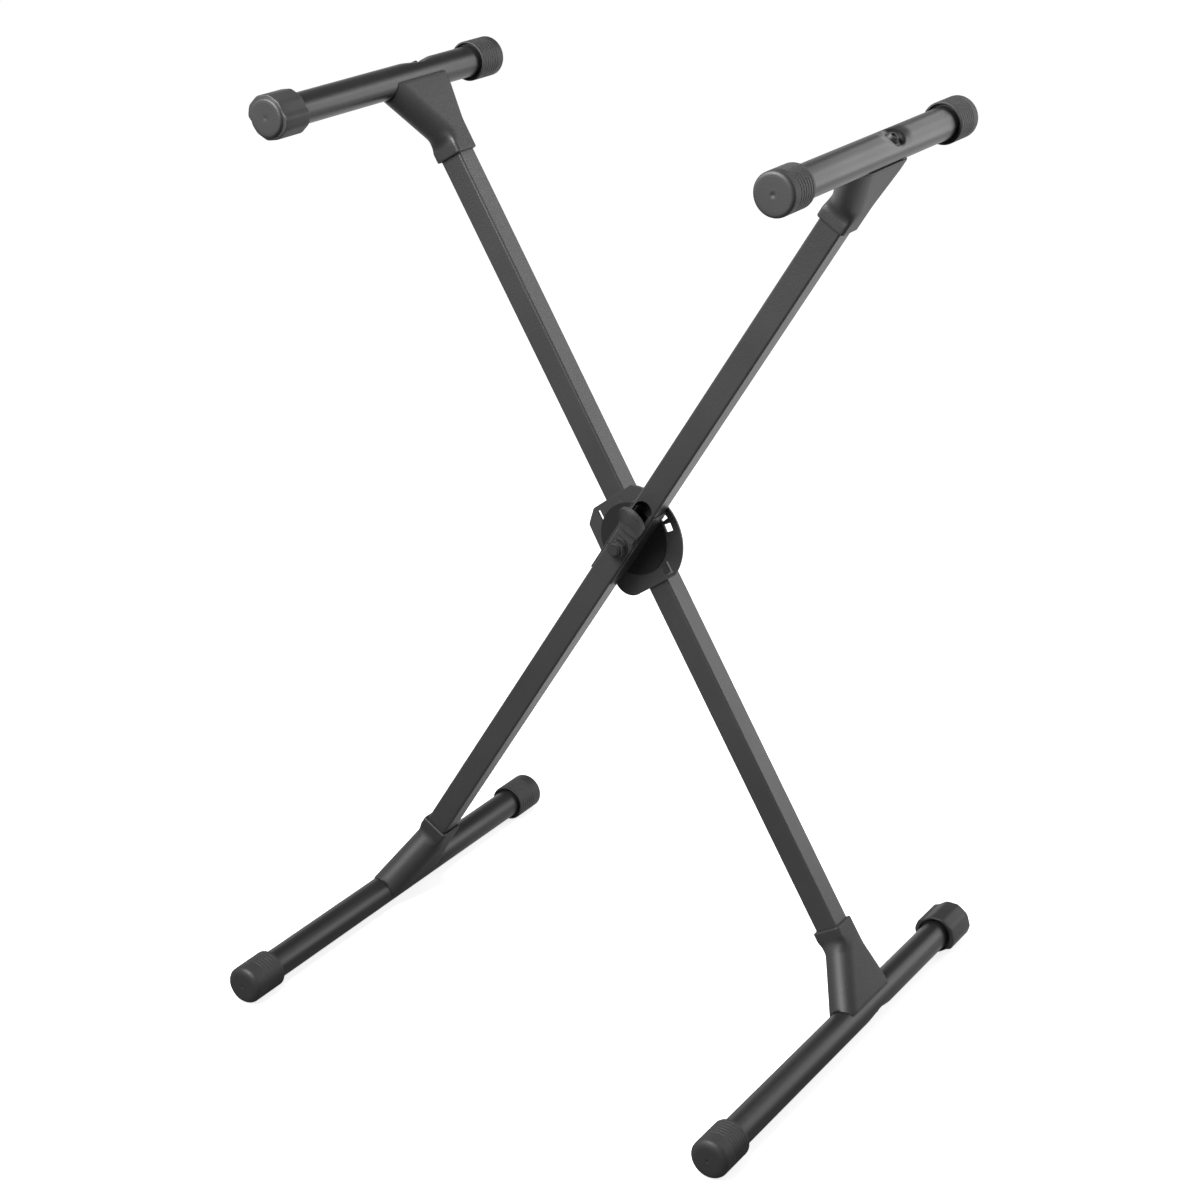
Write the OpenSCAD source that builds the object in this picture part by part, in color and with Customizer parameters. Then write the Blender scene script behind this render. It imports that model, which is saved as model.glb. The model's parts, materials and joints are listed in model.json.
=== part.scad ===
// Folding keyboard stand: two crossed square legs, a bar with rubber caps at each leg end,
// and a hub with a perforated lock plate and a sprung release lever.
// Millimetres. X runs across the stand, Y from front to back, Z up. The floor is at Z = 0.
// The front leg rises to the right and the rear leg rises to the left.

/* [Stance] */
// Lean of each leg from upright in the stored pose, degrees
lean = 31.5; // [24:0.1:47]
// Pivot to the axis of a top bar
top_reach = 492.5; // [420:0.5:600]
// Pivot to the axis of a foot bar
foot_reach = 516.5; // [440:0.5:620]
// Distance of the hub's middle plane behind the stand's middle
hub_y = 45; // [30:1:60]
// Gap between the two legs, filled by the hub's plates
leg_gap = 4.6; // [4.2:0.1:8]

/* [Leg tube] */
// Outside width of the square leg tube
leg_w = 25; // [20:0.5:32]
// Wall of the leg tube
leg_wall = 1.5; // [1:0.1:2.5]
// Outside corner radius of the leg tube
leg_corner_r = 2.5; // [1.6:0.1:4]
// Distance of a leg's end from the axis of its bar
leg_end_gap = 18; // [17:0.5:24]

/* [Bars] */
// Outside diameter of the round bars
bar_d = 30; // [25:0.5:35]
// Wall of the round bars
bar_wall = 1.5; // [1:0.1:2.5]
// Length of a top bar over its caps
top_bar_l = 353; // [280:1:420]
// Length of a foot bar over its caps
foot_bar_l = 518; // [420:1:620]
// Distance of the top bars' middle behind the stand's middle
top_bar_back = 3; // [-6:0.5:6]
// How far the left foot bar is set to the back, and the right one to the front
foot_bar_shift = 3.5; // [0:0.5:8]
// Width of the pressed bowl that takes a bar bolt's head
bowl_d = 26; // [20:0.5:28]
// Width of the bowl's flat floor
bowl_floor_d = 15; // [14.5:0.5:18]
// Depth of the bowl below the bar's surface
bowl_depth = 6; // [5:0.5:8]

/* [Caps] */
// Outside radius of a plain cap
cap_r = 19.5; // [17.5:0.5:23]
// Length of the caps on the top bars
top_cap_l = 37; // [25:0.5:45]
// Length of the caps on the foot bars
foot_cap_l = 43.5; // [30:0.5:50]
// Thickness of a cap's end wall
cap_end = 4; // [2:0.5:6]
// Rounding at a plain cap's end
cap_round_r = 5; // [2:0.5:6]
// Rounding at a plain cap's mouth
cap_lip_r = 1; // [0.5:0.1:1.5]
// Thickness of the thin rim at a cap's mouth
mouth_rim = 1.8; // [1.4:0.1:2]
// Depth of the recess inside that rim
mouth_depth = 4; // [2:0.5:6]
// Fine grooves round a plain cap, counted from its mouth
groove_count = 6; // [2:1:7]
// Spacing of those grooves
groove_pitch = 4; // [2.4:0.1:4]
// Width of one groove
groove_w = 0.8; // [0.6:0.1:1.6]
// Depth of one groove
groove_depth = 0.3; // [0.2:0.1:0.8]
// Width of the small dimple in the cap's end
end_dimple_d = 2.6; // [2:0.1:4]
// Depth of that dimple
end_dimple_depth = 0.6; // [0.3:0.1:1]
// Growth of the levelling cap's radius from one flat to the next
cam_rise = 0.85; // [0.4:0.05:1.1]
// Fall of the levelling cap's lowest flat below the plain cap's radius
cam_low = 0.6; // [0.2:0.1:1]
// Turn of the levelling cap on the top bar, degrees
top_cam_turn = -26; // [-90:1:90]
// Length of the round nose at a levelling cap's end
cam_nose_l = 3; // [2:0.5:5]
// Radius of that nose where it starts
cam_nose_r = 18; // [16.5:0.5:19]

/* [Brackets] */
// Wall of a bracket's sleeve round the leg
sleeve_wall = 2.9; // [2.5:0.1:4.5]
// Corner radius of the sleeve
sleeve_corner_r = 3.5; // [3:0.1:5]
// Length of the straight part of the sleeve at the front
sleeve_front_l = 24.5; // [15:0.5:30]
// Length of the straight part of the sleeve at the back
sleeve_back_l = 30; // [20:0.5:36]
// Distance of the sleeve's mouth from the bar's axis
bracket_reach = 85; // [75:1:100]
// Wall of the saddle at each side of the bar
saddle_wall = 1.2; // [1:0.1:3]
// How far the saddle stops short of the bar's axis
saddle_short = 5.5; // [4:0.5:9]
// Reach of the saddle's round nose to the front of the leg's middle
nose_reach = 56; // [50:1:72]
// Reach of the saddle's square end to the back of the leg's middle
tail_reach = 23; // [20:1:40]
// Corner radius of that square end
tail_corner_r = 4; // [2:0.5:6]

/* [Bolts] */
// Thread diameter of the bar bolts
bar_bolt_d = 8; // [6:1:8]
// Head diameter of the bar bolts
bar_bolt_head_d = 13.2; // [11:0.1:14]
// Head height of the bar bolts
bar_bolt_head_h = 4.4; // [3:0.1:4.8]
// Length of thread that a bar bolt has in its leg plug
bar_bolt_grip = 18; // [12:1:24]
// Socket across flats in the bar bolt's head
bar_bolt_key = 5; // [4:0.5:6]
// Length of the threaded plug in a leg's end
plug_l = 24; // [20:1:32]
// Shank diameter of the hub bolt
hub_bolt_d = 10; // [8:1:12]
// Hexagon across flats on the hub bolt's head and nut
hub_hex = 17; // [15:1:19]
// Height of the hub bolt's head
hub_head_h = 6.4; // [5:0.2:8]
// Height of the nut's hexagon
nut_hex_h = 6; // [5:0.5:7]
// Height of the nut's round locking collar
nut_collar_h = 2.5; // [1.5:0.5:4]
// Diameter of that collar
nut_collar_d = 13; // [12.5:0.5:14.5]
// Diameter of the hub washers
hub_washer_d = 20; // [18.5:0.5:24]
// Thickness of the hub washers
hub_washer_t = 1.6; // [1:0.1:2.5]
// Wall of the spacer tube inside the front leg
spacer_wall = 1.2; // [0.8:0.1:1.5]
// Wall of the bush inside the rear leg
bush_wall = 2; // [1.5:0.1:3]
// Diameter of the bush's flange
bush_flange_d = 22; // [19:0.5:24]
// Thickness of the bush's flange
bush_flange_t = 2; // [1.5:0.1:3]
// How far the hub bolt's end stands out of the nut
bolt_end = 1; // [0.5:0.5:3]

/* [Lock plate] */
// Thickness of the lock plate on the rear leg
plate_t = 2.3; // [1.8:0.1:3]
// Radius of the lock plate's round side
plate_r = 55; // [50:0.5:60]
// Radius on which the square lock holes lie
lock_hole_r = 43.5; // [41:0.5:45]
// Side of a square lock hole
lock_hole_w = 8; // [7:0.1:9]
// Angle from one lock hole to the next, degrees
lock_step = 16; // [14:0.5:20]
// Lock holes for a taller stand than the stored pose
holes_up = 1; // [0:1:1]
// Lock holes for a lower stand than the stored pose
holes_down = 2; // [1:1:2]
// Length of the slot near the plate's corner
plate_slot_l = 12.5; // [9:0.5:14]
// Width of that slot
plate_slot_w = 3.3; // [2.5:0.1:4.5]
// Width of the window beside the rear leg
plate_window_w = 10; // [6:0.5:10]
// Height of that window and of the lug that is punched out of it
plate_window_h = 12; // [6:0.5:12]
// Reach of that lug along the rear leg's side
plate_lug_l = 9; // [5:0.5:10]
// Diameter of the plate's flush rivets
rivet_d = 5; // [4:0.5:6]
// Diameter of a rivet's closed end inside the leg
rivet_end_d = 7; // [6.5:0.5:8]
// Radius of the friction disc between the two legs
disc_r = 37; // [25:0.5:38]
// Thickness of the friction disc
disc_t = 1; // [0.8:0.1:1.4]
// Thickness of the saddle plate behind the front leg
saddle_plate_t = 1.2; // [0.8:0.1:1.5]
// Reach of that saddle plate above the pivot
saddle_plate_up = 50; // [49:0.5:60]
// Reach of that saddle plate below the pivot
saddle_plate_down = 41; // [38:0.5:60]
// Depth of the saddle plate's flanges along the leg's sides
saddle_flange = 23.5; // [3:0.5:24]

/* [Release lever] */
// Bottom of the window in the front leg, above the pivot
window_low = 13.5; // [12:0.5:15]
// Top of the window, above the pivot
window_high = 60; // [57:1:72]
// Lower edge of the lever's thumb tab, above the pivot
tab_low = 13; // [12.5:0.5:15]
// Bend of the thumb tab, above the pivot
tab_bend = 22; // [20:0.5:24]
// Tip of the lever's thumb tab, above the pivot
tab_tip = 56; // [48:0.5:60]
// Lean of the thumb tab out of the leg, degrees
tab_lean = 29; // [20:1:34]
// Width of the thumb tab at its round end
tab_w = 31; // [24:0.5:33]
// Width of the thumb tab at its bend
tab_foot_w = 22; // [18:0.5:23]
// Thickness of the lever's sheet
lever_t = 2; // [1.5:0.1:2.5]
// Height of the lever's pin above the pivot
pin_u = 12; // [10.5:0.5:14]
// Depth of the lever's pin behind the leg's front face
pin_depth = 14; // [10:0.5:16]
// Diameter of the lever's pin
pin_d = 4; // [3:0.5:5]
// Width of the lock tooth
tooth_w = 7.4; // [6:0.1:7.6]
// Top of the lever's back web, above the pivot
web_top = 73; // [71:0.5:80]
// Room behind the lever's back web
web_room = 4; // [3:0.5:6]

/* [Lever spring] */
// Middle of the spring above the pivot
spring_u = 67; // [65:0.5:69]
// Diameter of the spring's wire line
spring_d = 8; // [6:0.5:10]
// Diameter of the spring wire
wire_d = 0.8; // [0.6:0.1:1]
// Curls in the spring
curls = 5; // [4:1:6]

/* [Fits] */
// Radial clearance of pieces that turn on a shaft or bar
turn_gap = 0.05; // [0.02:0.01:0.1]
// Clearance of pieces that are slid on and stay put
slide_gap = 0.1; // [0.05:0.05:0.3]
// Clearance round a bolt's shank
bolt_gap = 0.2; // [0.1:0.05:0.5]
// Clearance between pieces that pass each other
pass_gap = 0.3; // [0.2:0.05:0.5]
// Play at the ends of the lever's spring
seat_gap = 0.02; // [0.01:0.01:0.1]
// Most that the lever swings out, degrees
lever_swing = 8; // [6:0.5:8]

/* [Hidden] */
$fn = 64;
// Overlap that keeps a cut open past a face
cut = 1;
// Thin slice between which a flare is drawn
slice = 0.5;
front = 1;
rear = -1;

// The cam's flats, counted from the lowest, and their spacing in degrees
cam_flats = 5;
cam_step = 180 / cam_flats;
// Direction of the lowest flat in the cap's own frame, one flat before the one that meets the floor
cam_start = 90 - cam_step;
function flat_r(k) = k == 0 ? cap_r - cam_low : cap_r + (k - 1) * cam_rise;
function line_meet(a, ra, b, rb) = [
    (ra * sin(b) - rb * sin(a)) / sin(b - a),
    (rb * cos(a) - ra * cos(b)) / sin(b - a)
];
// One half of the cam: the crest's foot, then the corners between flats, then the crest
function cam_half(start) = concat(
    [flat_r(0) / cos(cam_step / 2) * [cos(start - cam_step / 2), sin(start - cam_step / 2)]],
    [for (k = [0 : cam_flats - 2])
        line_meet(start + k * cam_step, flat_r(k), start + (k + 1) * cam_step, flat_r(k + 1))],
    [flat_r(cam_flats - 1) / cos(cam_step / 2) * [
        cos(start + (cam_flats - 0.5) * cam_step),
        sin(start + (cam_flats - 0.5) * cam_step)]]
);
cam_points = concat(cam_half(cam_start), cam_half(cam_start + 180));
cam_reach = max([for (p = cam_points) p[0]]);

// The stand is set sideways so that its box is centred on X = 0
pivot_x = -(cam_reach - cap_r) / 2;
pivot_z = cap_r + foot_reach * cos(lean);
leg_offset = (leg_gap + leg_w) / 2;
function leg_y(side) = hub_y - side * leg_offset;
leg_front = leg_y(front) - leg_w / 2;
leg_back = leg_y(front) + leg_w / 2;
rear_leg_front = leg_y(rear) - leg_w / 2;
rear_leg_back = leg_y(rear) + leg_w / 2;
leg_in = leg_w - 2 * leg_wall;

plate_front = rear_leg_front - plate_t;
saddle_back = leg_back + saddle_plate_t;
end_play = pass_gap;
top_tube_l = top_bar_l - 2 * (cap_end + end_play);
foot_tube_l = foot_bar_l - 2 * (cap_end + end_play);

sleeve_w = leg_w + 2 * (slide_gap + sleeve_wall);
saddle_half = bar_d / 2 + saddle_wall;
flare_front = -bracket_reach + sleeve_front_l;
flare_back = -bracket_reach + sleeve_back_l;
flare_high = -leg_end_gap;
nose_y = -(nose_reach - saddle_half);

pin_y = leg_front + pin_depth;
window_half = leg_w / 2 - leg_corner_r;
tab_back = leg_front - pass_gap;
lever_half = window_half - pass_gap;
cheek_in = lever_half - lever_t;
web_back = leg_back - leg_wall - web_room;
tooth_top = lock_hole_r + tooth_w / 2;
spacer_d = hub_bolt_d + 2 * (bolt_gap / 2 + spacer_wall);
bush_d = hub_bolt_d + 2 * (turn_gap + bush_wall);
head_y = rear_leg_back + bush_flange_t + hub_washer_t + 2 * pass_gap;
nut_y = leg_front - hub_washer_t - nut_hex_h;

// Carries a leg's own frame: X across the leg, Z up along it from the pivot
module on_leg(side) {
    translate([pivot_x, 0, pivot_z])
        rotate([0, side * lean, 0])
            children();
}

// Carries a bar's own frame: Z points away from the hub
module on_top(side) {
    on_leg(side)
        translate([0, 0, top_reach])
            children();
}

module on_foot(side) {
    on_leg(side)
        translate([0, 0, -foot_reach])
            rotate([0, 180, 0])
                children();
}

module rod_y(d, from, to) {
    translate([0, from, 0])
        rotate([-90, 0, 0])
            cylinder(d = d, h = to - from);
}

function span(middle, size) = [middle - size / 2, middle + size / 2];

module box_span(x, y, z) {
    translate([x[0], y[0], z[0]])
        cube([x[1] - x[0], y[1] - y[0], z[1] - z[0]]);
}

// A square bar with rounded corners, standing on its end
module round_post(w, r, h) {
    side = w - 2 * r;
    translate([-w / 2, -side / 2, 0])
        cube([w, side, h]);
    translate([-side / 2, -w / 2, 0])
        cube([side, w, h]);
    for (x = [-side / 2, side / 2], y = [-side / 2, side / 2])
        translate([x, y, 0])
            cylinder(r = r, h = h);
}

// The legs

module leg_tube(side) {
    low = -foot_reach + leg_end_gap;
    length = foot_reach + top_reach - 2 * leg_end_gap;
    translate([0, leg_y(side), low])
        difference() {
            round_post(leg_w, leg_corner_r, length);
            translate([0, 0, -cut])
                round_post(leg_in, leg_corner_r - leg_wall, length + 2 * cut);
        }
}

module lever_window() {
    box_span([-window_half, window_half], [leg_front - cut, leg_front + leg_wall + cut],
        [window_low, window_high - window_half]);
    translate([0, 0, window_high - window_half])
        rod_y(2 * window_half, leg_front - cut, leg_front + leg_wall + cut);
}

// Way for the lock tooth, which also climbs a little as the lever swings
module tooth_way(from, to) {
    half = tooth_w / 2 + pass_gap;
    box_span([-half, half], [from, to], [lock_hole_r - half, tooth_top + leg_wall + pass_gap]);
}

module leg_front() {
    color("dimgray")
        on_leg(front)
            difference() {
                leg_tube(front);
                lever_window();
                tooth_way(leg_back - leg_wall - cut, leg_back + cut);
                rod_y(hub_bolt_d + bolt_gap, leg_front - cut, leg_back + cut);
                translate([-leg_w, pin_y, pin_u])
                    rotate([0, 90, 0])
                        cylinder(d = pin_d, h = 2 * leg_w);
            }
}

module leg_rear() {
    color("dimgray")
        on_leg(rear)
            difference() {
                leg_tube(rear);
                rod_y(bush_d, rear_leg_front - cut, rear_leg_back + cut);
                for (p = rivet_places)
                    translate([p[0], 0, p[1]])
                        rod_y(rivet_d, rear_leg_front - cut, rear_leg_front + leg_wall + cut);
            }
}

// The bars and their bolts

module bowl_cone(wall, extra) {
    slope = (bowl_d - bowl_floor_d) / bowl_depth;
    translate([0, 0, bar_d / 2 - bowl_depth - wall])
        cylinder(d1 = bowl_floor_d + 2 * wall, d2 = bowl_d + slope * extra + 2 * wall,
            h = bowl_depth + extra + wall);
}

// The bar and all on it are drawn about the bar's own middle, with the bolt this far behind it
module cross_bar(length, bolt_y) {
    difference() {
        union() {
            difference() {
                rod_y(bar_d, -length / 2, length / 2);
                rod_y(bar_d - 2 * bar_wall, -length / 2 - cut, length / 2 + cut);
            }
            intersection() {
                rod_y(bar_d, -length / 2, length / 2);
                translate([0, bolt_y, 0])
                    bowl_cone(bar_wall, 0);
            }
        }
        translate([0, bolt_y, 0])
            bowl_cone(0, cut);
        translate([0, bolt_y, -bar_d])
            cylinder(d = bar_bolt_d + bolt_gap, h = 2 * bar_d);
    }
}

module top_bar(side) {
    color("dimgray")
        on_top(side)
            translate([0, top_bar_back, 0])
                cross_bar(top_tube_l, leg_y(side) - top_bar_back);
}

module foot_bar(side) {
    color("dimgray")
        on_foot(side)
            translate([0, side * foot_bar_shift, 0])
                cross_bar(foot_tube_l, leg_y(side) - side * foot_bar_shift);
}

module bar_bolt() {
    seat = bar_d / 2 - bowl_depth;
    difference() {
        union() {
            translate([0, 0, seat])
                cylinder(d1 = bar_bolt_head_d, d2 = bar_bolt_head_d - bar_bolt_head_h, h = bar_bolt_head_h);
            translate([0, 0, -leg_end_gap - bar_bolt_grip])
                cylinder(d = bar_bolt_d, h = leg_end_gap + bar_bolt_grip + seat);
        }
        translate([0, 0, seat + bar_bolt_head_h / 3])
            cylinder(d = bar_bolt_key / cos(30), h = bar_bolt_head_h, $fn = 6);
    }
}

module bar_bolts(side) {
    color("silver") {
        on_top(side)
            translate([0, leg_y(side), 0])
                bar_bolt();
        on_foot(side)
            translate([0, leg_y(side), 0])
                bar_bolt();
    }
}

module leg_plug() {
    translate([0, 0, -leg_end_gap - plug_l])
        difference() {
            round_post(leg_in, leg_corner_r - leg_wall, plug_l);
            translate([0, 0, -cut])
                cylinder(d = bar_bolt_d, h = plug_l + 2 * cut);
        }
}

module leg_plugs(side) {
    color("black") {
        on_top(side)
            translate([0, leg_y(side), 0])
                leg_plug();
        on_foot(side)
            translate([0, leg_y(side), 0])
                leg_plug();
    }
}

// The brackets

// The sleeve's four corners where the flare starts, lower at the front than at the back
module flare_foot() {
    corner = sleeve_w / 2 - sleeve_corner_r;
    for (x = [-corner, corner], y = [-corner, corner])
        translate([x, y, y < 0 ? flare_front : flare_back])
            cylinder(r = sleeve_corner_r, h = slice, $fn = 32);
}

module flare_top(z) {
    translate([0, nose_y, z])
        cylinder(r = saddle_half, h = slice);
    for (x = [-1, 1])
        translate([x * (saddle_half - tail_corner_r), tail_reach - tail_corner_r, z])
            cylinder(r = tail_corner_r, h = slice, $fn = 32);
}

module saddle_block() {
    height = -saddle_short - flare_high;
    translate([0, 0, flare_high]) {
        translate([0, nose_y, 0])
            cylinder(r = saddle_half, h = height);
        box_span([-saddle_half, saddle_half], [nose_y, tail_reach - tail_corner_r], [0, height]);
        box_span([-saddle_half + tail_corner_r, saddle_half - tail_corner_r],
            [nose_y, tail_reach], [0, height]);
        for (x = [-1, 1])
            translate([x * (saddle_half - tail_corner_r), tail_reach - tail_corner_r, 0])
                cylinder(r = tail_corner_r, h = height);
    }
}

module bracket() {
    floor_t = leg_end_gap - bar_d / 2;
    difference() {
        union() {
            translate([0, 0, -bracket_reach])
                round_post(sleeve_w, sleeve_corner_r, sleeve_back_l);
            hull() {
                flare_foot();
                flare_top(flare_high - slice);
            }
            saddle_block();
        }
        translate([0, 0, -bracket_reach - cut])
            round_post(leg_w + 2 * slide_gap, leg_corner_r, bracket_reach - leg_end_gap + cut);
        rod_y(bar_d, -2 * nose_reach, 2 * nose_reach);
        translate([0, 0, -leg_end_gap - floor_t])
            cylinder(d = bar_bolt_d + bolt_gap, h = 2 * leg_end_gap);
    }
}

module top_bracket(side) {
    color("black")
        on_top(side)
            translate([0, leg_y(side), 0])
                bracket();
}

module foot_bracket(side) {
    color("black")
        on_foot(side)
            translate([0, leg_y(side), 0])
                bracket();
}

// The caps

function arc_points(centre, r, from, to, steps) = [
    for (k = [0 : steps])
        let (a = from + (to - from) * k / steps)
            centre + r * [cos(a), sin(a)]
];

// Half section of a plain cap: radius first, then length from its mouth
function cap_section(cap_l) = concat(
    [[bar_d / 2 + slide_gap / 2, mouth_depth], [cap_r - mouth_rim, mouth_depth], [cap_r - mouth_rim, 0]],
    arc_points([cap_r - cap_lip_r, cap_lip_r], cap_lip_r, -90, 0, 4),
    [for (k = [1 : groove_count], p = [[0, 0], [groove_depth, 0], [groove_depth, groove_w], [0, groove_w]])
        [cap_r - p[0], k * groove_pitch + p[1]]],
    arc_points([cap_r - cap_round_r, cap_l - cap_round_r], cap_round_r, 0, 90, 8),
    [[end_dimple_d / 2, cap_l], [end_dimple_d / 2, cap_l - end_dimple_depth],
        [0, cap_l - end_dimple_depth], [0, cap_l - cap_end], [bar_d / 2 + slide_gap / 2, cap_l - cap_end]]
);

module plain_cap(cap_l) {
    rotate_extrude($fn = 96)
        polygon(cap_section(cap_l));
}

// Puts a cap on the front or back end of a top bar
module at_top_end(back) {
    translate([0, top_bar_back + back * (top_bar_l / 2 - top_cap_l), 0])
        rotate([-90 * back, 0, 0])
            children();
}

// Puts a cap on the front or back end of a foot bar; the left bar belongs to the front leg
module at_foot_end(side, back) {
    translate([0, side * foot_bar_shift + back * (foot_bar_l / 2 - foot_cap_l), 0])
        rotate([-90 * back, 0, 0])
            children();
}

module caps_front_frame() {
    color("black") {
        on_top(front)
            for (back = [-1, 1])
                at_top_end(back)
                    plain_cap(top_cap_l);
        on_foot(front)
            for (back = [-1, 1])
                at_foot_end(front, back)
                    plain_cap(foot_cap_l);
    }
}

module caps_rear_frame() {
    color("black") {
        on_top(rear)
            at_top_end(1)
                plain_cap(top_cap_l);
        on_foot(rear)
            at_foot_end(rear, -1)
                plain_cap(foot_cap_l);
    }
}

// A cap whose outline climbs in flats up to two crests, so that turning it lifts the bar
module levelling_cap(cap_l) {
    difference() {
        union() {
            linear_extrude(cap_l - cam_nose_l)
                polygon(cam_points);
            translate([0, 0, cap_l - cam_nose_l])
                cylinder(r1 = cam_nose_r, r2 = cam_nose_r - cam_nose_l / 2, h = cam_nose_l);
        }
        translate([0, 0, -cut])
            cylinder(r = bar_d / 2 + turn_gap, h = cap_l - cap_end + cut);
        translate([0, 0, -cut])
            cylinder(r = cap_r - mouth_rim, h = mouth_depth + cut);
        translate([0, 0, cap_l - end_dimple_depth])
            cylinder(d = end_dimple_d, h = end_dimple_depth + cut);
    }
}

// Both levelling caps are turned from upright, in the stand's frame
module levelling_cap_top() {
    color("black")
        translate([pivot_x - top_reach * sin(lean), 0, pivot_z + top_reach * cos(lean)])
            at_top_end(-1)
                rotate(top_cam_turn)
                    levelling_cap(top_cap_l);
}

module levelling_cap_foot() {
    color("black")
        translate([pivot_x + foot_reach * sin(lean), 0, pivot_z - foot_reach * cos(lean)])
            at_foot_end(rear, 1)
                levelling_cap(foot_cap_l);
}

// The hub

// The plate's straight edges: across the leg, then along it, seen in the rear leg's frame
plate_corners = [
    [-41.7, 30.5], [-28, 43], [28, 49], [80, 49], [80, -44.4], [-44.2, -54]
];
// Rounding of each of those corners
plate_rounding = [6, 6, 1, 1, 1, 18];
// Points of an arc that rounds the corner b between the corners a and c of an outline drawn clockwise
function rounded(a, b, c, r) =
    let (p = (a - b) / norm(a - b), q = (c - b) / norm(c - b), half = acos(p * q) / 2,
        centre = b + (p + q) / norm(p + q) * r / sin(half),
        start = b + p * r / tan(half) - centre, from = atan2(start[1], start[0]))
        arc_points(centre, r, from, from - 180 + 2 * half, 8);
plate_count = len(plate_corners);
plate_outline = [for (k = [0 : plate_count - 1], p = rounded(
    plate_corners[(k + plate_count - 1) % plate_count], plate_corners[k],
    plate_corners[(k + 1) % plate_count], plate_rounding[k])) p];
// Places on the plate, in the same frame
slot_middle = [-23.5, 32.2];
window_left = leg_w / 2 + slide_gap + plate_t;
window_u = -39.5;
rivet_places = [[-7, -43], [7, 40]];
// The hole that the tooth faces lies on the front leg's middle line
facing_hole = 90 - 2 * lean;

module lock_plate() {
    color("dimgray")
        on_leg(rear)
            difference() {
                union() {
                    translate([0, rear_leg_front, 0])
                        rotate([90, 0, 0])
                            linear_extrude(plate_t)
                                polygon(plate_outline);
                    box_span([window_left - plate_t, window_left],
                        [plate_front + plate_t / 2, rear_leg_front + plate_lug_l],
                        span(window_u, plate_window_h));
                }
                difference() {
                    rod_y(4 * plate_r, plate_front - cut, rear_leg_front + cut);
                    rod_y(2 * plate_r, plate_front - 2 * cut, rear_leg_front + 2 * cut);
                    box_span([-2 * plate_r, 0], [plate_front - 2 * cut, rear_leg_front + 2 * cut],
                        [-2 * plate_r, 2 * plate_r]);
                }
                rod_y(bush_d, plate_front - cut, rear_leg_front + cut);
                for (k = [-holes_down : holes_up])
                    rotate([0, -(facing_hole + k * lock_step), 0])
                        box_span([lock_hole_r - lock_hole_w / 2, lock_hole_r + lock_hole_w / 2],
                            [plate_front - cut, rear_leg_front + cut],
                            [-lock_hole_w / 2, lock_hole_w / 2]);
                box_span(span(slot_middle[0], plate_slot_w), [plate_front - cut, rear_leg_front + cut],
                    span(slot_middle[1], plate_slot_l));
                box_span([window_left, window_left + plate_window_w],
                    [plate_front - cut, rear_leg_front + cut], span(window_u, plate_window_h));
                for (p = rivet_places)
                    translate([p[0], 0, p[1]])
                        rod_y(rivet_d, plate_front - cut, rear_leg_front + cut);
            }
}

module plate_rivets() {
    color("silver")
        on_leg(rear)
            for (p = rivet_places)
                translate([p[0], 0, p[1]]) {
                    rod_y(rivet_d, plate_front, rear_leg_front + leg_wall);
                    rod_y(rivet_end_d, rear_leg_front + leg_wall, rear_leg_front + 2 * leg_wall);
                }
}

module hub_bush() {
    color("white")
        on_leg(rear)
            difference() {
                union() {
                    rod_y(bush_d, plate_front, rear_leg_back);
                    rod_y(bush_flange_d, rear_leg_back, rear_leg_back + bush_flange_t);
                }
                rod_y(hub_bolt_d + 2 * turn_gap, plate_front - cut, rear_leg_back + bush_flange_t + cut);
            }
}

module friction_disc() {
    color("black")
        on_leg(front)
            difference() {
                rod_y(2 * disc_r, saddle_back, saddle_back + disc_t);
                rod_y(hub_bolt_d + bolt_gap, saddle_back - cut, saddle_back + disc_t + cut);
            }
}

module saddle_plate() {
    inner = leg_w / 2 + slide_gap;
    outer = inner + saddle_plate_t;
    color("dimgray")
        on_leg(front)
            difference() {
                box_span([-outer, outer], [leg_back - saddle_flange, saddle_back],
                    [-saddle_plate_down, saddle_plate_up]);
                box_span([-inner, inner], [leg_back - saddle_flange - cut, leg_back],
                    [-saddle_plate_down - cut, saddle_plate_up + cut]);
                tooth_way(leg_back - cut, saddle_back + cut);
                rod_y(hub_bolt_d + bolt_gap, leg_back - cut, saddle_back + cut);
            }
}

module hub_bolt() {
    color("silver")
        on_leg(front) {
            rod_y(hub_bolt_d, nut_y - nut_collar_h - bolt_end, head_y);
            translate([0, head_y, 0])
                rotate([-90, 0, 0])
                    cylinder(d = hub_hex / cos(30), h = hub_head_h, $fn = 6);
        }
}

module hub_nut() {
    color("silver")
        on_leg(front)
            difference() {
                union() {
                    translate([0, nut_y, 0])
                        rotate([-90, 0, 0])
                            cylinder(d = hub_hex / cos(30), h = nut_hex_h, $fn = 6);
                    rod_y(nut_collar_d, nut_y - nut_collar_h, nut_y);
                }
                rod_y(hub_bolt_d, nut_y - nut_collar_h - cut, nut_y + nut_hex_h + cut);
            }
}

module hub_washers() {
    color("silver")
        on_leg(front)
            for (y = [leg_front - hub_washer_t, head_y - hub_washer_t])
                difference() {
                    rod_y(hub_washer_d, y, y + hub_washer_t);
                    rod_y(hub_bolt_d + bolt_gap, y - cut, y + hub_washer_t + cut);
                }
}

module hub_spacer() {
    color("silver")
        on_leg(front)
            difference() {
                rod_y(spacer_d, leg_front + leg_wall, leg_back - leg_wall);
                rod_y(hub_bolt_d + bolt_gap, leg_front, leg_back);
            }
}

// The release lever

// Lowest place of the lever's neck in the window, where the swing does not bring it onto the leg
neck_low = window_low + pin_depth * sin(lever_swing) + pass_gap;

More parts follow.
